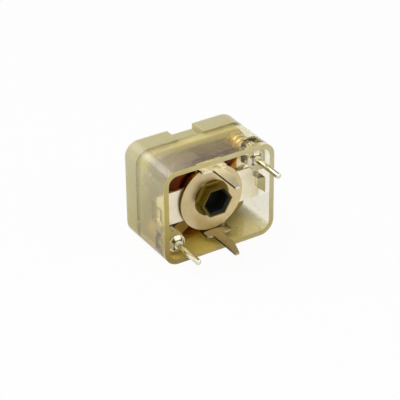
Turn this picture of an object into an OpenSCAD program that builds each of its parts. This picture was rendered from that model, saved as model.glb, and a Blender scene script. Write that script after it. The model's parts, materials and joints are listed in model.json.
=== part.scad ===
// Film trimmer capacitor, lying on one long side of its case.
// X runs along the long side, Z up, and the open side with the terminals faces -Y.
// The origin is under the middle of the whole part, on the surface it lies on.

/* [Case] */
// Width of the case
case_w = 13.85; // [13.6:0.05:16]
// Height of the case as it lies
case_h = 11.4; // [11:0.05:14]
// Depth of the case from its open rim to its back
case_d = 8.3; // [8.1:0.1:11]
// Radius of the case's four long edges
corner_r = 1.7; // [1.2:0.1:2.2]
// Wall of the clear cover
wall = 0.6; // [0.45:0.05:0.7]
// Depth of the back moulding that shows behind the cover
base_depth = 2.5; // [2:0.05:2.7]
// Wall of the back moulding's skirt
base_wall = 1.4; // [1.3:0.05:1.7]
// Thickness of the back moulding's floor
base_floor = 0.8; // [0.7:0.05:1]
// Chamfer round the back of the case
back_edge = 0.3; // [0.1:0.05:0.4]
// Width of the notch in each long side of the back moulding
notch_w = 3.3; // [2:0.1:5]
// Depth of that notch
notch_depth = 0.8; // [0.4:0.05:0.9]

/* [Stator pins] */
// Distance from a pin's axis to the short side of the case beside it
pin_side = 1.925; // [1.85:0.025:2.1]
// Distance from a pin's axis to the long side of the case beside it
pin_edge = 2.05; // [1.9:0.05:2.2]
// Diameter of the free end of a pin
pin_d = 0.65; // [0.5:0.05:0.75]
// Diameter of a pin inside the case
shank_d = 1; // [0.94:0.02:1.1]
// Length of the pins in front of the rim
pin_reach = 3.8; // [2.5:0.1:6]
// Diameter of a pin's head in the back moulding
pin_head_d = 1.5; // [1.3:0.05:1.6]

/* [Rotor terminal] */
// Thickness of the terminal sheet
sheet_t = 0.25; // [0.2:0.01:0.3]
// Distance from the rim to the front of the terminal's arms
arm_y = 2; // [1.9:0.05:2.2]
// Width of the two arms
arm_w = 3.9; // [3:0.1:3.9]
// Width of the two bent necks
neck_w = 3.1; // [2.6:0.1:3.6]
// How far a neck sits to one side of its tag
neck_shift = 0.3; // [0:0.05:0.3]
// Distance from the rim back to where a neck narrows to its tag
neck_y = 0.5; // [0.2:0.05:0.9]
// Width of a solder tag
tag_w = 1.15; // [0.8:0.05:1.5]
// Width left at the tip of a tag
tag_tip_w = 0.5; // [0.4:0.05:0.8]
// Length of the tapered end of a tag
tag_taper = 2; // [1:0.1:3]
// Length of the tags in front of the rim
tag_reach = 3.9; // [2.5:0.05:6]
// Radius of the fillets where a tag leaves its neck
tag_root_r = 0.4; // [0.2:0.05:0.4]

/* [Contact disc] */
// Radius of the disc
disc_r = 3.88; // [3.5:0.02:3.9]
// Thickness of the disc
disc_t = 0.28; // [0.2:0.02:0.36]
// Distance from the rim to the front of the hexagonal collar
collar_y = 0.5; // [0.4:0.05:0.8]
// Wall of the hexagonal collar
collar_wall = 0.2; // [0.15:0.05:0.35]
// Radius of the flare where the collar leaves the disc
collar_flare = 0.4; // [0.1:0.05:0.5]

/* [Rotor and stator plates] */
// Radius over the corners of the spindle's hexagon
hex_r = 1.68; // [1.6:0.02:1.72]
// Radius over the corners of the hexagonal tool socket
socket_r = 1.44; // [1.2:0.02:1.5]
// Depth of the tool socket
socket_depth = 1.6; // [1.2:0.1:2]
// Depth of the chamfer that leads a tool into the socket
socket_lead = 0.2; // [0.1:0.05:0.3]
// Radius of the spindle's back journal
journal_r = 1.5; // [1.3:0.05:1.6]
// Width of the screwdriver slot in the back of the spindle
slot_w = 0.6; // [0.4:0.05:0.9]
// Depth of that slot
slot_depth = 0.8; // [0.5:0.05:1.2]
// Radius of the hub rings between the rotor plates
hub_r = 2.1; // [2:0.02:2.15]
// Radius of the rotor plates
rotor_r = 3.4; // [3:0.05:3.5]
// Radius of the stator plates
stator_r = 3.4; // [3:0.05:3.5]
// Thickness of each metal plate
plate_t = 0.2; // [0.15:0.01:0.22]
// Gap between neighbouring metal plates, which holds one film
plate_gap = 0.15; // [0.13:0.01:0.16]
// Thickness of each dielectric film
film_t = 0.09; // [0.05:0.01:0.1]
// Distance from the left edge of the films to the inside of the wall
film_side = 1.425; // [0.9:0.025:2.3]
// Distance from the right edge of the films to the right pin's axis
film_pin_gap = 1.35; // [1.2:0.05:1.4]
// Radius of the rings that space the stator plates on their pins
spacer_r = 0.75; // [0.65:0.05:0.9]

/* [Hidden] */
$fn = 64;

// Running and assembly clearances
run_gap = 0.05;
slip_gap = 0.02;
side_gap = 0.1;
stack_gap = 0.2; // in front of and behind the pack of plates
past = 1; // how far a cut runs past the face that it opens
least_r = 0.2; // smallest corner of an inset outline
bevel_share = 0.3; // place of the middle edge of the chamfer round the back

// Planes along Y, counted from the rim into the case
seam_y = case_d - base_depth;
arm_back_y = arm_y + sheet_t;
disc_gap = 0.06; // from the disc to the terminal
disc_y = arm_y - disc_gap - disc_t;
stack_y = arm_back_y + stack_gap; // front of the first stator plate
pitch = 2 * (plate_t + plate_gap); // from one stator plate to the next
stator_count = 4;
rotor_count = stator_count - 1;
film_count = 2 * rotor_count + 1; // one in each gap, and one in front of the stack
stack_end_y = stack_y + (stator_count - 1) * pitch + plate_t;
rotor_end_y = stack_end_y - plate_t - plate_gap;
shoulder_l = 0.5; // thickness of the spindle's round shoulder behind the plates
shoulder_end_y = rotor_end_y + shoulder_l;
hub_front_y = shoulder_end_y + run_gap;
spigot_y = stack_end_y + stack_gap; // front of the back moulding's spigot
floor_y = case_d - base_floor;
spindle_inset = 0.3;
spindle_back_y = case_d - spindle_inset;
pin_sink = 0.6; // depth of the counterbore for a pin's head
pin_seat_y = case_d - pin_sink;
pin_head_t = 0.3;

// Places across the case
pin_x = case_w / 2 - pin_side;
pin_z = case_h / 2 - pin_edge;
pin_radius = norm([pin_x, pin_z]);
pin_angle = atan2(pin_z, pin_x);
shank_r = shank_d / 2;
shank_hole_r = shank_r + slip_gap;
inner_w = case_w - 2 * wall;
inner_h = case_h - 2 * wall;

// Corner posts that hold the pins
post_l = 1.1; // from the post's front to the terminal's arms
post_y = arm_y - post_l;
shank_show = 0.48; // how far a pin's shank stands out of its post
shoulder_y = post_y - shank_show; // where a pin steps down to its free end
post_side = 0.8; // from a pin's axis to the post's inner side
post_drop = pin_z - arm_w / 2 - side_gap; // from a pin's axis to the post's inner end
post_cut = 0.75;

// Snap noses and ledges that hold the terminal's arms
nose_l = 1.2;
nose_y = arm_y - nose_l;
nose_w = 1.9;
nose_tip_w = 1.1;
nose_depth = 0.55;
nose_tip_l = 0.4; // length of the nose's flat tip
ledge_w = 2.6;
ledge_depth = 0.75;
arm_end_gap = 0.07;

// Retaining stars on the pins
star_t = 0.12;
star_r = 1.02;
star_ring = 0.22;
star_in_r = star_r - star_ring;
star_tongues = 4;
tongue_w = 0.72;
tongue_tilt = 42;
tongue_root_r = star_in_r + side_gap;
tongue_l = (tongue_root_r - shank_hole_r) / cos(tongue_tilt);
pin_tip = 0.14;

// Terminal
bend_r = 0.15;
neck_edge = 0.15; // chamfer where a neck narrows
neck_in = disc_r + disc_gap; // from the axis to the inner face of a neck
journal_step = 0.1;
journal_gap_r = hex_r + journal_step; // front journal on the spindle
arm_end = inner_w / 2 - arm_end_gap;

// Contact disc's collar
collar_in_r = hex_r + slip_gap;
collar_r = collar_in_r + collar_wall;
flare_steps = 4;
flare_merge = 0.001;

// Rotor and stator
socket_edge = 0.05; // flat left round the mouth of the tool socket
rotor_rest = 105; // direction of the straight edge of the rotor plates
stator_edge = 0.28;
lug_w = 1.4;
lug_r = 1.05;
hub_clear = 0.15;
film_left = inner_w / 2 - film_side;
film_right = pin_x - film_pin_gap;
film_margin = 0.55; // from the edge of a film to the wall
film_corner = 1.2;
film_pin_cut = 1.55; // from the left pin's axis to the film's cut corner
film_reach = 3.95; // from the axis to the cut across the film's lower right corner
boss_r = 1.1;
hub_wall = 0.85;
recess_rim = 0.7;
recess_r = journal_r + recess_rim;

// Working frame: origin where the rotor's axis meets the rim, +Y into the case
module place() {
    translate([0, -(case_d - max(pin_reach, tag_reach)) / 2, case_h / 2]) children();
}

// A flat sheet in the XZ plane from y0 to y0 + t
module sheet(y0, t) {
    translate([0, y0 + t, 0]) rotate([90, 0, 0]) linear_extrude(height = t) children();
}

// A round or hexagonal rod along Y
module rod(y0, y1, r, sides = 64) {
    translate([0, y1, 0]) rotate([90, 0, 0]) cylinder(h = y1 - y0, r = r, $fn = sides);
}

module at_pin(side) {
    translate([side * pin_x, 0, side * pin_z]) children();
}

// The case's outline, set in by a wall
module outline(inset) {
    r = max(corner_r - inset, least_r);
    w = case_w - 2 * inset;
    h = case_h - 2 * inset;
    square([w - 2 * r, h], center = true);
    square([w, h - 2 * r], center = true);
    for (x = [-1, 1], z = [-1, 1])
        translate([x * (w / 2 - r), z * (h / 2 - r)]) circle(r = r);
}

module post_outline() {
    x = pin_x - post_side;
    z = pin_z - post_drop;
    intersection() {
        outline(wall / 2);
        polygon([
            [x, case_h / 2], [x, z + post_cut], [x + post_cut, z],
            [case_w / 2, z], [case_w / 2, case_h / 2]
        ]);
    }
}

// Wedge on a side wall that snaps over an arm of the terminal, narrower at its tip
module snap_nose() {
    x = case_w / 2 - wall / 2;
    tip = inner_w / 2 - nose_depth;
    intersection() {
        translate([0, 0, -nose_w / 2]) linear_extrude(height = nose_w)
            polygon([[x, nose_y], [inner_w / 2, nose_y], [tip, arm_y - nose_tip_l],
                [tip, arm_y - slip_gap], [x, arm_y - slip_gap]]);
        sheet(0, arm_y)
            polygon([[x, nose_w / 2], [inner_w / 2, nose_w / 2], [tip, nose_tip_w / 2],
                [tip, -nose_tip_w / 2], [inner_w / 2, -nose_w / 2], [x, -nose_w / 2]]);
    }
}

// Ledge behind an arm of the terminal
module ledge() {
    x = case_w / 2 - wall / 2;
    tip = inner_w / 2 - nose_depth;
    translate([tip, arm_back_y + slip_gap, -ledge_w / 2]) cube([x - tip, ledge_depth, ledge_w]);
}

module cover() {
    color([0.85, 0.76, 0.45, 0.5]) place() difference() {
        union() {
            difference() {
                sheet(0, seam_y) outline(0);
                sheet(-past, seam_y + 2 * past) outline(wall);
            }
            for (side = [0, 180]) rotate([0, side, 0]) {
                sheet(post_y, stack_y - post_y) post_outline();
                snap_nose();
                ledge();
            }
        }
        for (side = [-1, 1]) at_pin(side) rod(0, stack_y + past, shank_hole_r + run_gap);
    }
}

module base_shell() {
    difference() {
        union() {
            hull($fn = 32) {
                sheet(seam_y, base_depth - back_edge) outline(0, $fn = 32);
                sheet(seam_y, base_depth - back_edge * bevel_share)
                    outline(back_edge * bevel_share, $fn = 32);
                sheet(seam_y, base_depth) outline(back_edge, $fn = 32);
            }
            sheet(spigot_y, seam_y - spigot_y + past / 2) outline(wall + run_gap);
        }
        sheet(spigot_y - past, floor_y - spigot_y + past) outline(base_wall);
        for (z = [-1, 1])
            translate([-notch_w / 2, seam_y, z * case_h / 2 - notch_depth])
                cube([notch_w, base_depth + past, 2 * notch_depth]);
    }
}

module base() {
    color([0.84, 0.79, 0.6]) place() difference() {
        union() {
            base_shell();
            rod(hub_front_y, floor_y + base_floor / 2, journal_r + hub_wall);
            for (side = [-1, 1])
                at_pin(side) rod(stack_end_y, floor_y + base_floor / 2, boss_r);
        }
        rod(hub_front_y - past, case_d + past, journal_r + run_gap);
        rod(spindle_back_y, case_d + past, recess_r);
        for (side = [-1, 1]) at_pin(side) {
            rod(stack_end_y - past, case_d + past, shank_hole_r);
            rod(pin_seat_y, case_d + past, pin_head_d / 2 + side_gap);
        }
    }
}

// Side view of one bent neck and its tag, in the YZ plane with the axis at z = 0
module neck_profile() {
    out = neck_in + sheet_t;
    difference() {
        union() {
            translate([arm_y, 0]) square([sheet_t, out - bend_r - sheet_t]);
            translate([-tag_reach, neck_in]) square([arm_back_y + tag_reach - bend_r - sheet_t, sheet_t]);
            intersection() {
                translate([arm_y - bend_r, neck_in - bend_r]) circle(r = bend_r + sheet_t);
                translate([arm_y - bend_r, neck_in - bend_r]) square(2 * (bend_r + sheet_t));
            }
        }
        translate([arm_y - bend_r, neck_in - bend_r]) circle(r = bend_r);
    }
}

// Top view of a neck and its tag, in the XY plane
module tag_outline(shift) {
    left = -tag_w / 2;
    neck_left = shift - neck_w / 2;
    neck_right = shift + neck_w / 2;
    polygon([
        [neck_left, arm_back_y + past], [neck_left, neck_y + neck_edge],
        [neck_left + neck_edge, neck_y],
        [left, neck_y], [left, -tag_reach], [left + tag_tip_w, -tag_reach],
        [tag_w / 2, tag_taper - tag_reach], [tag_w / 2, neck_y],
        [neck_right - neck_edge, neck_y], [neck_right, neck_y + neck_edge],
        [neck_right, arm_back_y + past]
    ]);
    for (side = [-1, 1]) translate([side * tag_w / 2, neck_y]) root_fillet(side);
}

// Concave corner between a neck and one side of its tag
module root_fillet(side) {
    r = min(tag_root_r, (neck_w - tag_w) / 2 - neck_shift - neck_edge);
    difference() {
        translate([-r, -r]) square(2 * r);
        translate([side * r, -r]) circle(r = r);
    }
}

// The side says which way the neck sits off its tag
module terminal_tag(side) {
    intersection() {
        translate([-neck_w, 0, 0]) rotate([90, 0, 90])
            linear_extrude(height = 2 * neck_w) neck_profile();
        linear_extrude(height = case_h) tag_outline(side * neck_shift);
    }
}

module rotor_terminal() {
    color([0.86, 0.84, 0.76]) place() difference() {
        union() {
            sheet(arm_y, sheet_t) square([2 * arm_end, arm_w], center = true);
            terminal_tag(-1);
            mirror([0, 0, 1]) terminal_tag(1);
        }
        rod(0, arm_back_y + past, journal_gap_r + run_gap);
    }
}

// The collar's flare, as hexagonal rings that widen along a quarter circle
module collar_root() {
    for (i = [0:flare_steps - 1]) {
        a0 = 90 * i / flare_steps;
        a1 = 90 * (i + 1) / flare_steps;
        y0 = disc_y - collar_flare * (1 - sin(a0));
        y1 = disc_y - collar_flare * (1 - sin(a1));
        translate([0, y1 + flare_merge, 0]) rotate([90, 0, 0])
            cylinder(h = y1 - y0 + flare_merge, r1 = collar_r + collar_flare * (1 - cos(a1)),
                r2 = collar_r + collar_flare * (1 - cos(a0)), $fn = 6);
    }
}

module contact_disc() {
    color([0.8, 0.68, 0.42]) place() difference() {
        union() {
            sheet(disc_y, disc_t) circle(r = disc_r);
            rod(collar_y, disc_y + disc_t / 2, collar_r, 6);
            collar_root();
        }
        rod(collar_y - past, disc_y + disc_t + past, collar_in_r, 6);
    }
}

module spindle() {
    front = collar_y + run_gap;
    color([0.05, 0.05, 0.055]) place() difference() {
        union() {
            rod(front, rotor_end_y, hex_r, 6);
            rod(arm_y - slip_gap, arm_back_y + run_gap - slip_gap, journal_gap_r);
            rod(rotor_end_y, shoulder_end_y, hub_r);
            rod(shoulder_end_y, spindle_back_y, journal_r);
        }
        rod(front - past, front + socket_depth, socket_r, 6);
        translate([0, front + socket_lead, 0]) rotate([90, 0, 0])
            cylinder(h = socket_lead + flare_merge, r1 = socket_r, r2 = hex_r - socket_edge, $fn = 6);
        translate([-2 * journal_r, spindle_back_y - slot_depth, -slot_w / 2])
            cube([4 * journal_r, slot_depth + past, slot_w]);
    }
}

module rotor_plate(i) {
    color([0.78, 0.62, 0.34]) place()
        sheet(stack_y + plate_t + plate_gap + (i - 1) * pitch, plate_t) difference() {
            union() {
                circle(r = hub_r);
                rotate(rotor_rest) intersection() {
                    circle(r = rotor_r);
                    translate([-2 * rotor_r, -4 * rotor_r]) square(4 * rotor_r);
                }
            }
            circle(r = hex_r + slip_gap, $fn = 6);
        }
}

// Ring in front of each rotor plate, which reaches the next one forward
module hub_ring(i) {
    back = stack_y + plate_t + plate_gap + (i - 1) * pitch;
    front = i == 1 ? arm_back_y + run_gap : back - pitch + plate_t;
    color([0.8, 0.65, 0.36]) place() difference() {
        rod(front, back, hub_r);
        rod(front - past, back + past, hex_r + slip_gap, 6);
    }
}

module stator_plate(i) {
    color([0.8, 0.72, 0.5]) place()
        sheet(stack_y + (i - 1) * pitch, plate_t) rotate(pin_angle) difference() {
            union() {
                intersection() {
                    circle(r = stator_r);
                    translate([-2 * stator_r, stator_edge - 4 * stator_r]) square(4 * stator_r);
                }
                translate([-pin_radius, stator_edge - lug_w]) square([2 * pin_radius, lug_w]);
                for (side = [-1, 1]) translate([side * pin_radius, 0]) circle(r = lug_r);
            }
            circle(r = hub_r + 2 * hub_clear);
            for (side = [-1, 1]) translate([side * pin_radius, 0]) circle(r = shank_hole_r);
        }
}

// A film's outline, with its lower corners cut off to clear the left pin and the disc's edge
module film_outline() {
    top = inner_h / 2 - film_margin;
    cut_x = pin_x - film_pin_cut;
    cut_z = pin_z - film_pin_cut - side_gap;
    across = film_reach * sqrt(2); // x - z along the cut at the lower right
    difference() {
        polygon([
            [film_right, film_right - across], [film_right, top], [film_corner - film_left, top],
            [-film_left, top - film_corner], [-film_left, -cut_z],
            [-cut_x, -pin_z], [-cut_x, -top], [across - top, -top]
        ]);
        circle(r = hub_r + hub_clear);
    }
}

// Film in the middle of the gap in front of each metal plate
module film(i) {
    color([0.28, 0.1, 0.04]) place()
        sheet(stack_y + (i - 1) * pitch / 2 - (plate_gap + film_t) / 2, film_t) film_outline();
}

module spacer(side, i) {
    front = stack_y + plate_t + (i - 1) * pitch;
    back = front + pitch - plate_t;
    color([0.86, 0.66, 0.24]) place() at_pin(side) difference() {
        rod(front, back, spacer_r);
        rod(front - past, back + past, shank_hole_r);
    }
}

module stator_pin(side) {
    color([0.8, 0.78, 0.7]) place() at_pin(side) {
        rod(shoulder_y, pin_seat_y, shank_r);
        rod(pin_seat_y, pin_seat_y + pin_head_t, pin_head_d / 2);
        rod(pin_tip - pin_reach, shoulder_y, pin_d / 2);
        translate([0, pin_tip - pin_reach, 0]) rotate([90, 0, 0])
            cylinder(h = pin_tip, r1 = pin_d / 2, r2 = pin_d / 2 - pin_tip);
    }
}

// Push-on star: a flat ring with tongues that lean forward against the pin
module pin_star(side) {
    color([0.72, 0.7, 0.64]) place() at_pin(side) {
        difference() {
            rod(post_y - star_t, post_y, star_r);
            rod(0, post_y + past, star_in_r);
        }
        for (i = [0:star_tongues - 1]) rotate([0, 360 * i / star_tongues, 0])
            translate([tongue_root_r, post_y, 0]) rotate([0, 0, tongue_tilt])
                translate([-tongue_l, -star_t, -tongue_w / 2]) cube([tongue_l, star_t, tongue_w]);
    }
}

cover();
base();
rotor_terminal();
contact_disc();
spindle();
stator_pin(-1);  // stator_pin_left
stator_pin(1);  // stator_pin_right
pin_star(-1);  // pin_star_left
pin_star(1);  // pin_star_right
for (i = [1:rotor_count]) {
    rotor_plate(i);
    hub_ring(i);
}
for (i = [1:stator_count])
    stator_plate(i);
for (i = [1:film_count])
    film(i);
for (i = [1:stator_count - 1]) {
    spacer(-1, i);
    spacer(1, i);
}
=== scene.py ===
import json
import math

import bpy
from mathutils import Matrix, Vector


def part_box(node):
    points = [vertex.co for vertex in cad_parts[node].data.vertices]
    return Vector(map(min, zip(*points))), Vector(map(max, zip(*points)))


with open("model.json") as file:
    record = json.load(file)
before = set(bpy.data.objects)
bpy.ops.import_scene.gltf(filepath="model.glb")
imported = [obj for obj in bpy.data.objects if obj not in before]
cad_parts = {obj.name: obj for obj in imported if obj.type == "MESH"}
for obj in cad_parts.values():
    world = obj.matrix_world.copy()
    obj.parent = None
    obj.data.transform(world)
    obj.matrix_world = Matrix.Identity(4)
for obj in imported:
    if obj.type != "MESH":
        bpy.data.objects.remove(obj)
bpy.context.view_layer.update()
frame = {"nodes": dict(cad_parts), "record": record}
MM = 0.001


nodes = frame["nodes"]
cover_low, cover_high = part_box("cover")
base_low, base_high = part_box("base")
RIM_Y = cover_low.y
AXIS_Z = (cover_low.z + cover_high.z) / 2
WALL_REACH = 0.7 * MM  # a little more than a wall of the cover
TOUCH = 0.01 * MM
COLLAR_REACH = 2.1 * MM  # just outside the disc's collar
FILM_HOLE_REACH = 3.0 * MM  # just outside the films' holes for the hub
FLOOR_DROP = 0.03 * MM  # keeps the floor clear of the case's lower wall
BOUNCES = 24  # the films are seven sheets deep

# ---------------------------------------------------------------- node helpers

def new_material(name):
    mat = bpy.data.materials.new(name)
    mat.use_nodes = True
    mat.node_tree.nodes.clear()
    return mat, mat.node_tree


def add(tree, kind, **values):
    """A shader node with its sockets set by name, underscores standing for spaces."""
    node = tree.nodes.new(kind)
    for key, value in values.items():
        name = key.replace("_", " ")
        if name in node.inputs:
            node.inputs[name].default_value = value
        else:
            setattr(node, key, value)
    return node


def in_mm(tree, stretch=(1, 1, 1)):
    """Object coordinates in millimetres, stretched along an axis for a grain."""
    coords = tree.nodes.new("ShaderNodeTexCoord")
    scaled = tree.nodes.new("ShaderNodeMapping")
    scaled.inputs["Scale"].default_value = [s / MM for s in stretch]
    tree.links.new(coords.outputs["Object"], scaled.inputs["Vector"])
    return scaled.outputs["Vector"]


def noise(tree, vector, scale, detail=3.0, rough=0.5):
    tex = add(tree, "ShaderNodeTexNoise", Scale=scale, Detail=detail, Roughness=rough)
    tree.links.new(vector, tex.inputs["Vector"])
    return tex.outputs["Fac"]


def ramp(tree, fac, stops):
    """A colour ramp: stops are (position, colour or grey)."""
    node = tree.nodes.new("ShaderNodeValToRGB")
    elements = node.color_ramp.elements
    while len(elements) < len(stops):
        elements.new(0.5)
    for element, (place, value) in zip(elements, stops):
        element.position = place
        element.color = (*value, 1) if isinstance(value, tuple) else (value, value, value, 1)
    tree.links.new(fac, node.inputs["Fac"])
    return node.outputs["Color"]


def mapped(tree, fac, low, high, start=0.3, end=0.7):
    """Takes the range from start to end onto the one from low to high, and holds it there."""
    node = add(tree, "ShaderNodeMapRange", From_Min=start, From_Max=end, To_Min=low, To_Max=high)
    tree.links.new(fac, node.inputs["Value"])
    return node.outputs["Result"]


def bump(tree, height, strength, distance_mm):
    node = add(tree, "ShaderNodeBump", Strength=strength, Distance=distance_mm * MM)
    tree.links.new(height, node.inputs["Height"])
    return node.outputs["Normal"]


def mix_colour(tree, fac, a, b):
    node = tree.nodes.new("ShaderNodeMix")
    node.data_type = "RGBA"
    tree.links.new(fac, node.inputs["Factor"])
    for socket, value in ((node.inputs["A"], a), (node.inputs["B"], b)):
        if isinstance(value, tuple):
            socket.default_value = (*value, 1)
        else:
            tree.links.new(value, socket)
    return node.outputs["Result"]


def finish_material(tree, shader, volume=None):
    out = tree.nodes.new("ShaderNodeOutputMaterial")
    tree.links.new(shader, out.inputs["Surface"])
    if volume is not None:
        tree.links.new(volume, out.inputs["Volume"])


def maths(tree, operation, a, b):
    node = add(tree, "ShaderNodeMath", operation=operation)
    for socket, value in zip(node.inputs, (a, b)):
        if isinstance(value, (int, float)):
            socket.default_value = value
        else:
            tree.links.new(value, socket)
    return node.outputs[0]


def lamps_pass(tree, shader, tint, open_too=None):
    """Lets the lamps shine through a clear wall, tinted, so that what is inside is lit.

    The optional factor names faces that only tint what is seen through them.
    """
    path = tree.nodes.new("ShaderNodeLightPath")
    passes = path.outputs["Is Shadow Ray"]
    if open_too is not None:
        passes = maths(tree, "MAXIMUM", passes, open_too)
    clear = tree.nodes.new("ShaderNodeBsdfTransparent")
    if isinstance(tint, tuple):
        clear.inputs["Color"].default_value = (*tint, 1)
    else:
        tree.links.new(tint, clear.inputs["Color"])
    mix = tree.nodes.new("ShaderNodeMixShader")
    tree.links.new(passes, mix.inputs["Fac"])
    tree.links.new(shader, mix.inputs[1])
    tree.links.new(clear.outputs[0], mix.inputs[2])
    return mix.outputs[0]


# ---------------------------------------------------------------- places on the object

def split_axis(tree, source, axis):
    """One axis of a Texture Coordinate output."""
    coords = tree.nodes.new("ShaderNodeTexCoord")
    split = tree.nodes.new("ShaderNodeSeparateXYZ")
    tree.links.new(coords.outputs[source], split.inputs[0])
    return split.outputs[axis]


def place_axis(tree, axis):
    """The object-space coordinate along an axis, in metres."""
    return split_axis(tree, "Object", axis)


def facing_share(tree, low, high, start, end):
    """A factor that goes from low to high as a face turns to look out of the open side."""
    return mapped(tree, split_axis(tree, "Normal", "Y"), high, low, start, end)


def from_spindle(tree):
    """How far from the spindle's axis, in metres."""
    low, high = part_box("spindle")
    across = maths(tree, "SUBTRACT", place_axis(tree, "X"), (low.x + high.x) / 2)
    up = maths(tree, "SUBTRACT", place_axis(tree, "Z"), (low.z + high.z) / 2)
    squares = maths(
        tree, "ADD", maths(tree, "MULTIPLY", across, across), maths(tree, "MULTIPLY", up, up)
    )
    return maths(tree, "SQRT", squares, 0.0)


def between(tree, value, low, high, soft):
    """A factor of 1 where a value in metres is between two, with soft ends given in mm."""
    rise = mapped(tree, value, 0.0, 1.0, low - soft * MM, low)
    fall = mapped(tree, value, 1.0, 0.0, high, high + soft * MM)
    return maths(tree, "MULTIPLY", rise, fall)


# ---------------------------------------------------------------- materials

def clear_plastic():
    """Clear amber moulding: pale through a wall, deeper where the rim shows its depth.

    Its tints follow the photo's light and are painted light: amber at the lower left of the case,
    pale at the upper right.
    """
    mat, tree = new_material("clear_plastic")
    place = in_mm(tree)
    flow = noise(tree, place, 0.35, 2)
    fine = noise(tree, place, 2.5, 3)
    rim = facing_share(tree, 0.0, 1.0, -0.55, -0.2)
    # painted light: walls and rim grow paler towards the right and the top of the case
    painted_light = maths(
        tree, "ADD",
        mapped(tree, place_axis(tree, "X"), 0.0, 0.55, cover_low.x, cover_high.x),
        mapped(tree, place_axis(tree, "Z"), 0.0, 0.45, cover_low.z, cover_high.z),
    )
    rim_colour = ramp(tree, painted_light, [
        (0.05, (0.40, 0.27, 0.025)), (0.28, (0.60, 0.48, 0.12)),
        (0.60, (0.68, 0.58, 0.25)), (0.80, (0.76, 0.68, 0.38)),
    ])
    wall_colour = ramp(tree, painted_light, [
        (0.0, (0.78, 0.66, 0.28)), (0.16, (0.87, 0.79, 0.40)), (0.30, (0.95, 0.90, 0.54)),
        (0.50, (0.97, 0.95, 0.80)), (0.68, (0.99, 0.98, 0.94)),
    ])
    top = maths(tree, "GREATER_THAN", place_axis(tree, "Z"), cover_high.z - WALL_REACH)
    wall_colour = mix_colour(tree, top, wall_colour, (0.98, 0.955, 0.80))
    colour = mix_colour(tree, rim, wall_colour, rim_colour)
    shader = add(
        tree, "ShaderNodeBsdfPrincipled", IOR=1.50, Subsurface_Weight=0.5,
        Subsurface_Scale=0.5 * MM, Subsurface_Radius=(1.0, 0.85, 0.5),
    )
    haze = noise(tree, place, 0.22, 0)
    low = maths(tree, "LESS_THAN", place_axis(tree, "Z"), cover_low.z + WALL_REACH)
    side = mapped(
        tree, place_axis(tree, "X"), 0.13, 0.0, cover_low.x + 0.5 * MM, cover_low.x + 5.5 * MM
    )
    # a few hair-thin scuffs, following the contours of a noise inside patches of another
    contour = maths(tree, "SUBTRACT", noise(tree, place, 1.1, 1), 0.5)
    away = maths(tree, "ABSOLUTE", contour, 0.0)
    patch = maths(tree, "GREATER_THAN", noise(tree, place, 0.45, 0), 0.60)
    scuff = maths(tree, "MULTIPLY", mapped(tree, away, 0.35, 0.0, 0.003, 0.009), patch)
    clear = maths(tree, "SUBTRACT", mapped(tree, haze, 0.94, 0.98, 0.3, 0.7), side)
    clear = maths(tree, "SUBTRACT", clear, scuff)
    sight = tree.nodes.new("ShaderNodeMix")
    tree.links.new(rim, sight.inputs["Factor"])
    tree.links.new(clear, sight.inputs["A"])
    rim_sight = 0.25
    sight.inputs["B"].default_value = rim_sight
    tree.links.new(sight.outputs["Result"], shader.inputs["Transmission Weight"])
    tree.links.new(colour, shader.inputs["Base Color"])
    below_corner = mapped(
        tree, place_axis(tree, "Z"), 0.10, 0.0, cover_high.z - 1.6 * MM, cover_high.z - 0.2 * MM
    )
    on_left_wall = maths(tree, "LESS_THAN", place_axis(tree, "X"), cover_low.x + 0.8 * MM)
    worn = maths(tree, "MULTIPLY", below_corner, on_left_wall)
    rough = maths(tree, "ADD", mapped(tree, fine, 0.02, 0.06), worn)
    tree.links.new(rough, shader.inputs["Roughness"])
    tree.links.new(bump(tree, flow, 0.15, 0.05), shader.inputs["Normal"])
    body = add(tree, "ShaderNodeVolumeAbsorption", Color=(0.82, 0.72, 0.25, 1), Density=260)
    # the moulded seat against the back moulding is in touch with it, so it doesn't mirror
    seat = maths(tree, "GREATER_THAN", place_axis(tree, "Y"), cover_high.y - TOUCH)
    # little light gets out through the lower wall to the table
    tint = mix_colour(tree, low, (0.97, 0.95, 0.84), (0.76, 0.64, 0.30))
    finish_material(tree, lamps_pass(tree, shader.outputs[0], tint, seat), body.outputs[0])
    return mat


def milky_plastic():
    """Translucent cream moulding, satin, slightly clouded, with painted light: paler above and to
    the back.
    """
    mat, tree = new_material("milky_plastic")
    place = in_mm(tree)
    cloud = noise(tree, place, 0.5, 3)
    fine = noise(tree, place, 9, 3)
    # painted light: paler towards the top and towards the back, over a random cloud
    height = mapped(tree, place_axis(tree, "Z"), 0.1, 0.9, base_low.z, base_high.z)
    cloud_and_painted_light = maths(tree, "ADD", height, mapped(tree, cloud, -0.12, 0.12, 0.25, 0.75))
    painted_light = mapped(tree, place_axis(tree, "Y"), -0.12, 0.25, cover_high.y, base_high.y)
    cloud_and_painted_light = maths(tree, "ADD", cloud_and_painted_light, painted_light)
    colour = ramp(tree, cloud_and_painted_light, [(0.1, (0.49, 0.42, 0.12)), (0.9, (0.63, 0.57, 0.33))])
    shader = add(
        tree, "ShaderNodeBsdfPrincipled", IOR=1.5,
        Subsurface_Weight=0.8, Subsurface_Scale=0.8 * MM, Subsurface_Radius=(1.0, 0.85, 0.5),
    )
    tree.links.new(colour, shader.inputs["Base Color"])
    tree.links.new(mapped(tree, fine, 0.26, 0.34), shader.inputs["Roughness"])
    finish_material(tree, lamps_pass(tree, shader.outputs[0], (0.62, 0.57, 0.40)))
    return mat


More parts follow.
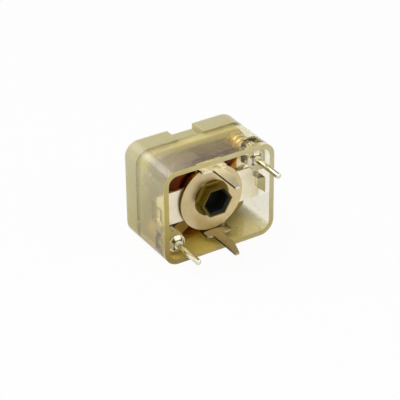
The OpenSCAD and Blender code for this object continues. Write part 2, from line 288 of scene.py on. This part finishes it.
def metal(
    name, dark, light, rough, grain=(1, 1, 1), grain_scale=12, grain_strength=0.15, spots=None,
    stains=(), lumps=None, metallic=1.0,
):
    """Plated sheet or wire: a metal whose colour drifts, with a directional grain.

    A stain is a pair: a function for where a second colour goes, and that colour.
    Lumps are such a function too, for where solder has run over the metal.
    """
    mat, tree = new_material(name)
    place = in_mm(tree)
    drift = noise(tree, place, 0.7, 3)
    lines = noise(tree, in_mm(tree, grain), grain_scale, 4, 0.6)
    colour = ramp(tree, drift, [(0.3, dark), (0.7, light)])
    if spots is not None:
        specks = noise(tree, place, 5.5, 2)
        colour = mix_colour(tree, ramp(tree, specks, [(0.62, 0.0), (0.72, 1.0)]), colour, spots)
    for factor, stain in stains:
        colour = mix_colour(tree, factor(tree), colour, stain)
    shader = add(tree, "ShaderNodeBsdfPrincipled", Metallic=metallic)
    tree.links.new(colour, shader.inputs["Base Color"])
    tree.links.new(mapped(tree, lines, rough * 0.75, rough * 1.3), shader.inputs["Roughness"])
    normal = bump(tree, lines, grain_strength, 0.02)
    if lumps is not None:
        runs = maths(tree, "MULTIPLY", noise(tree, place, 1.6, 1), lumps(tree))
        solder = bump(tree, runs, 0.8, 0.35)
        tree.links.new(normal, solder.node.inputs["Normal"])
        normal = solder
    tree.links.new(normal, shader.inputs["Normal"])
    finish_material(tree, shader.outputs[0])
    return mat


def black_plastic():
    mat, tree = new_material("black_plastic")
    fine = noise(tree, in_mm(tree), 7, 4)
    colour = ramp(tree, fine, [(0.3, (0.005, 0.005, 0.004)), (0.7, (0.016, 0.015, 0.012))])
    shader = add(tree, "ShaderNodeBsdfPrincipled", IOR=1.5, Specular_IOR_Level=0.18)
    tree.links.new(colour, shader.inputs["Base Color"])
    tree.links.new(mapped(tree, fine, 0.28, 0.45), shader.inputs["Roughness"])
    tree.links.new(bump(tree, fine, 0.1, 0.02), shader.inputs["Normal"])
    finish_material(tree, shader.outputs[0])
    return mat


def amber_film():
    """Amber film, clear enough to glow over bright metal and dark where seven lie in a row.

    The dark step on the outer edges is a painted shadow, placed after the block that the photo's
    top wall shows.
    """
    mat, tree = new_material("film")
    drift = noise(tree, in_mm(tree), 0.4, 2)
    faces = ramp(tree, drift, [(0.3, (0.87, 0.69, 0.27)), (0.7, (0.91, 0.74, 0.32))])
    edges = facing_share(tree, 1.0, 0.0, -0.9, -0.5)
    # painted shade: the cut edges of the films' holes round the hub are near black
    hub_hole_painted_shade = maths(tree, "LESS_THAN", from_spindle(tree), FILM_HOLE_REACH)
    low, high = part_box("film_1")
    along = mapped(tree, place_axis(tree, "X"), 0.0, 1.0, low.x, high.x)
    # painted shadow on the outer cut edges: a dark step a little left of the middle, paler again
    # towards the right
    outer_edges_painted_shadow = ramp(tree, along, [
        (0.0, (0.66, 0.60, 0.42)), (0.44, (0.66, 0.60, 0.42)),
        (0.47, (0.24, 0.16, 0.05)), (0.62, (0.60, 0.48, 0.24)), (1.0, (0.80, 0.70, 0.44)),
    ])
    edge_colour = mix_colour(tree, hub_hole_painted_shade, outer_edges_painted_shadow, (0.16, 0.07, 0.02))
    colour = mix_colour(tree, edges, faces, edge_colour)
    shader = add(
        tree, "ShaderNodeBsdfPrincipled", IOR=1.01, Roughness=0.03,
        Coat_Weight=0.15, Coat_Roughness=0.05,
    )
    tree.links.new(colour, shader.inputs["Base Color"])
    tree.links.new(mapped(tree, edges, 1.0, 0.5, 0, 1), shader.inputs["Transmission Weight"])
    far_face = tree.nodes.new("ShaderNodeNewGeometry").outputs["Backfacing"]
    finish_material(tree, lamps_pass(tree, shader.outputs[0], (0.94, 0.845, 0.54), far_face))
    return mat


def lower_tag_painted_shade(tree):
    """Where the terminal's lower neck and tag are, painted darker as shade."""
    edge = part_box("rotor_terminal")[0].z + 0.3 * MM
    return mapped(tree, place_axis(tree, "Z"), 1.0, 0.0, edge, edge + 0.3 * MM)


def left_edges_painted_shade(tree):
    """The cut edges that look left, which the photo shows dark: a painted shade."""
    return mapped(tree, split_axis(tree, "Normal", "X"), 1.0, 0.0, -0.9, -0.6)


def tag_root(tree):
    """Where the terminal's upper tag leaves its plate."""
    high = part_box("rotor_terminal")[1]
    near = mapped(tree, place_axis(tree, "Y"), 0.0, 1.0, RIM_Y - 0.4 * MM, RIM_Y + 0.3 * MM)
    on_top = maths(tree, "GREATER_THAN", place_axis(tree, "Z"), high.z - 0.05 * MM)
    return maths(tree, "MULTIPLY", near, on_top)


def disc_sides_painted_shade_collar_dark(tree):
    """Painted shade on the disc's sides, the faces that don't look out of the open side; and
    darker all round its collar.
    """
    collar = mapped(tree, from_spindle(tree), 1.0, 0.0, COLLAR_REACH, COLLAR_REACH + 0.1 * MM)
    return maths(tree, "MAXIMUM", facing_share(tree, 1.0, 0.0, -0.95, -0.7), collar)


def pin_root_painted_shade(tree):
    """Painted shade in patches around a pin's root in the case."""
    blots = mapped(tree, noise(tree, in_mm(tree), 2.2, 2), 0.0, 0.9, 0.48, 0.54)
    inside = between(tree, place_axis(tree, "Y"), RIM_Y + 0.8 * MM, RIM_Y + 1.5 * MM, 0.1)
    return maths(tree, "MULTIPLY", blots, inside)


def make_materials():
    return {
        "clear_plastic": clear_plastic(),
        "milky_plastic": milky_plastic(),
        "tinned_sheet": metal(
            "tinned_sheet", (0.80, 0.72, 0.53), (0.90, 0.82, 0.64), 0.34, (0.2, 1, 1), 9, 0.12,
            # painted shade: the lower tag darker, and the cut edges that look left near black
            stains=((lower_tag_painted_shade, (0.40, 0.34, 0.20)), (left_edges_painted_shade, (0.09, 0.065, 0.02))),
            lumps=tag_root,
        ),
        "disc_brass": metal(
            "disc_brass", (0.60, 0.47, 0.24), (0.70, 0.57, 0.33), 0.36, (1, 1, 1), 14, 0.2,
            # painted shade on the disc's sides, and darker all round its collar
            (0.42, 0.30, 0.12), ((disc_sides_painted_shade_collar_dark, (0.13, 0.09, 0.012)),),
        ),
        "black_plastic": black_plastic(),
        "tinned_wire": metal(
            "tinned_wire", (0.62, 0.60, 0.46), (0.78, 0.76, 0.62), 0.18, (1, 0.15, 1), 10, 0.15,
            # painted shade in patches round the pins' roots inside the case
            stains=((pin_root_painted_shade, (0.12, 0.10, 0.045)),),
        ),
        "star_steel": metal("star_steel", (0.58, 0.54, 0.42), (0.76, 0.71, 0.56), 0.28),
        "rotor_brass": metal("rotor_brass", (0.42, 0.28, 0.11), (0.56, 0.40, 0.18), 0.4),
        "stator_brass": metal("stator_brass", (0.70, 0.60, 0.38), (0.82, 0.74, 0.54), 0.3),
        "film": amber_film(),
        # the spacers' own brass, brightened and made only partly metallic as a painted highlight
        "spacer_brass": metal(
            "spacer_brass", (0.94, 0.68, 0.14), (1.0, 0.80, 0.24), 0.5, metallic=0.3
        ),
    }


def dress_nodes(materials):
    """Gives every CAD node the material of its slot in the record."""
    for part in frame["record"]["subparts"]:
        mesh = nodes[part["node"]].data
        mesh.materials.clear()
        mesh.materials.append(materials[part["material_slot"]])


def soften_edges(names, width_mm):
    """A small bevel, so that stamped and moulded edges catch the light."""
    for name in names:
        bevel = nodes[name].modifiers.new("soft_edges", "BEVEL")
        bevel.width = width_mm * MM
        bevel.segments = 2
        bevel.limit_method = "ANGLE"
        bevel.angle_limit = math.radians(35)
        bevel.harden_normals = False


# ---------------------------------------------------------------- stage, light and camera

def seen_white(tree, through):
    """1 for camera and mirror rays, less through glass, and 0 once light has scattered."""
    path = tree.nodes.new("ShaderNodeLightPath")
    passed = path.outputs["Is Transmission Ray"]  # such rays count as glossy ones too
    mirrored = maths(tree, "SUBTRACT", path.outputs["Is Glossy Ray"], passed)
    direct = maths(tree, "MAXIMUM", path.outputs["Is Camera Ray"], mirrored)
    glass = maths(tree, "MULTIPLY", passed, through)
    unscattered = maths(tree, "LESS_THAN", path.outputs["Diffuse Depth"], 0.5)
    return maths(tree, "MULTIPLY", maths(tree, "MAXIMUM", direct, glass), unscattered)


def white_to_camera(tree, shader, strength, through):
    """Shows a plain white to camera and mirror rays, and less of it through glass."""
    share = maths(tree, "MULTIPLY", seen_white(tree, through), strength)
    white = add(tree, "ShaderNodeEmission", Color=(1, 1, 1, 1), Strength=1.0)
    mix = tree.nodes.new("ShaderNodeMixShader")
    tree.links.new(share, mix.inputs["Fac"])
    tree.links.new(shader, mix.inputs[1])
    tree.links.new(white.outputs[0], mix.inputs[2])
    return mix.outputs[0]


def make_floor():
    """A pale floor, white to the camera and to mirrors, and through glass only beside the case."""
    half = 1.2
    mesh = bpy.data.meshes.new("floor")
    corners = [(x * half, y * half, -FLOOR_DROP) for x, y in ((-1, -1), (1, -1), (1, 1), (-1, 1))]
    mesh.from_pydata(corners, [], [(0, 1, 2, 3)])
    floor = bpy.data.objects.new("floor", mesh)
    bpy.context.scene.collection.objects.link(floor)
    mat, tree = new_material("floor")
    lit = add(tree, "ShaderNodeBsdfDiffuse", Color=(0.92, 0.92, 0.92, 1))
    beside = maths(tree, "ABSOLUTE", place_axis(tree, "X"), 0.0)
    clear_of_case = mapped(
        tree, beside, 0.0, 1.0, cover_high.x + 0.1 * MM, cover_high.x + 1.2 * MM,
    )
    finish_material(tree, white_to_camera(tree, lit.outputs[0], 0.93, clear_of_case))
    mesh.materials.append(mat)


def make_world():
    world = bpy.data.worlds.new("studio")
    bpy.context.scene.world = world
    world.use_nodes = True
    tree = world.node_tree
    tree.nodes.clear()
    lights = add(tree, "ShaderNodeBackground", Color=(0.96, 0.98, 1, 1), Strength=0.38)
    white = add(tree, "ShaderNodeBackground", Color=(1, 1, 1, 1), Strength=1.0)
    mix = tree.nodes.new("ShaderNodeMixShader")
    out = tree.nodes.new("ShaderNodeOutputWorld")
    tree.links.new(seen_white(tree, 1.0), mix.inputs["Fac"])
    tree.links.new(lights.outputs[0], mix.inputs[1])
    tree.links.new(white.outputs[0], mix.inputs[2])
    tree.links.new(mix.outputs[0], out.inputs["Surface"])


def direction(azimuth, elevation):
    """From the object towards a place, azimuth 0 being in front and 90 to the right."""
    a, e = math.radians(azimuth), math.radians(elevation)
    return Vector((math.sin(a) * math.cos(e), -math.cos(a) * math.cos(e), math.sin(e)))


def face_object(obj, azimuth, elevation, distance):
    away = direction(azimuth, elevation)
    obj.location = Vector((0, 0, AXIS_Z)) + away * distance
    obj.rotation_mode = "QUATERNION"
    obj.rotation_quaternion = away.to_track_quat("Z", "Y")


def softbox(name, azimuth, elevation, distance, size, power):
    data = bpy.data.lights.new(name, "AREA")
    data.shape = "RECTANGLE"
    data.size, data.size_y = size
    data.energy = power
    obj = bpy.data.objects.new(name, data)
    bpy.context.scene.collection.objects.link(obj)
    face_object(obj, azimuth, elevation, distance)


def dark_card(name, azimuth, elevation, distance, size, grey):
    """A card that only mirrors see, to give the metal its dark sides."""
    w, h = size[0] / 2, size[1] / 2
    mesh = bpy.data.meshes.new(name)
    mesh.from_pydata([(-w, -h, 0), (w, -h, 0), (w, h, 0), (-w, h, 0)], [], [(0, 1, 2, 3)])
    card = bpy.data.objects.new(name, mesh)
    bpy.context.scene.collection.objects.link(card)
    face_object(card, azimuth, elevation, distance)
    mat, tree = new_material(name)
    flat = add(tree, "ShaderNodeEmission", Color=(grey, grey * 0.95, grey * 0.85, 1), Strength=1.0)
    finish_material(tree, flat.outputs[0])
    mesh.materials.append(mat)
    card.visible_camera = False
    card.visible_diffuse = False
    card.visible_transmission = False
    card.visible_shadow = False


def make_lights():
    softbox("key", -50, 55, 0.30, (0.22, 0.22), 0.40)
    softbox("fill", 40, 25, 0.35, (0.25, 0.25), 0.18)
    softbox("rim", -160, 48, 0.30, (0.20, 0.20), 0.22)
    dark_card("card_back", 148, 33, 0.35, (0.34, 0.24), 0.32)
    dark_card("card_front", 15, 8, 0.25, (0.16, 0.12), 0.10)
    dark_card("card_low", -90, 5, 0.25, (0.14, 0.10), 0.16)


def make_camera():
    """The photograph's view: long lens, from the left and above."""
    azimuth, elevation, roll = -31.767, 30.629, -0.563
    distance = 0.1805
    data = bpy.data.cameras.new("camera")
    data.lens = 149.97
    data.sensor_width = 36
    data.shift_x, data.shift_y = -0.00046, -0.02967
    data.clip_start, data.clip_end = 0.01, 10
    camera = bpy.data.objects.new("camera", data)
    bpy.context.scene.collection.objects.link(camera)
    target = Vector((0, RIM_Y + 4 * MM, AXIS_Z))
    away = direction(azimuth, elevation)
    turn = (away.to_track_quat("Z", "Y")).to_matrix() @ Matrix.Rotation(math.radians(roll), 3, "Z")
    camera.matrix_world = Matrix.Translation(target + away * distance) @ turn.to_4x4()
    bpy.context.scene.camera = camera


# ---------------------------------------------------------------- the scene

make_camera()
dress_nodes(make_materials())
soften_edges(["rotor_terminal"], 0.05)
soften_edges(["spindle"], 0.03)
soften_edges(["contact_disc"], 0.08)
soften_edges(["cover", "base"], 0.03)
make_floor()
make_world()
make_lights()

scene = bpy.context.scene
scene.view_settings.view_transform = "Standard"
scene.cycles.max_bounces = BOUNCES
scene.cycles.transmission_bounces = BOUNCES
scene.cycles.transparent_max_bounces = BOUNCES
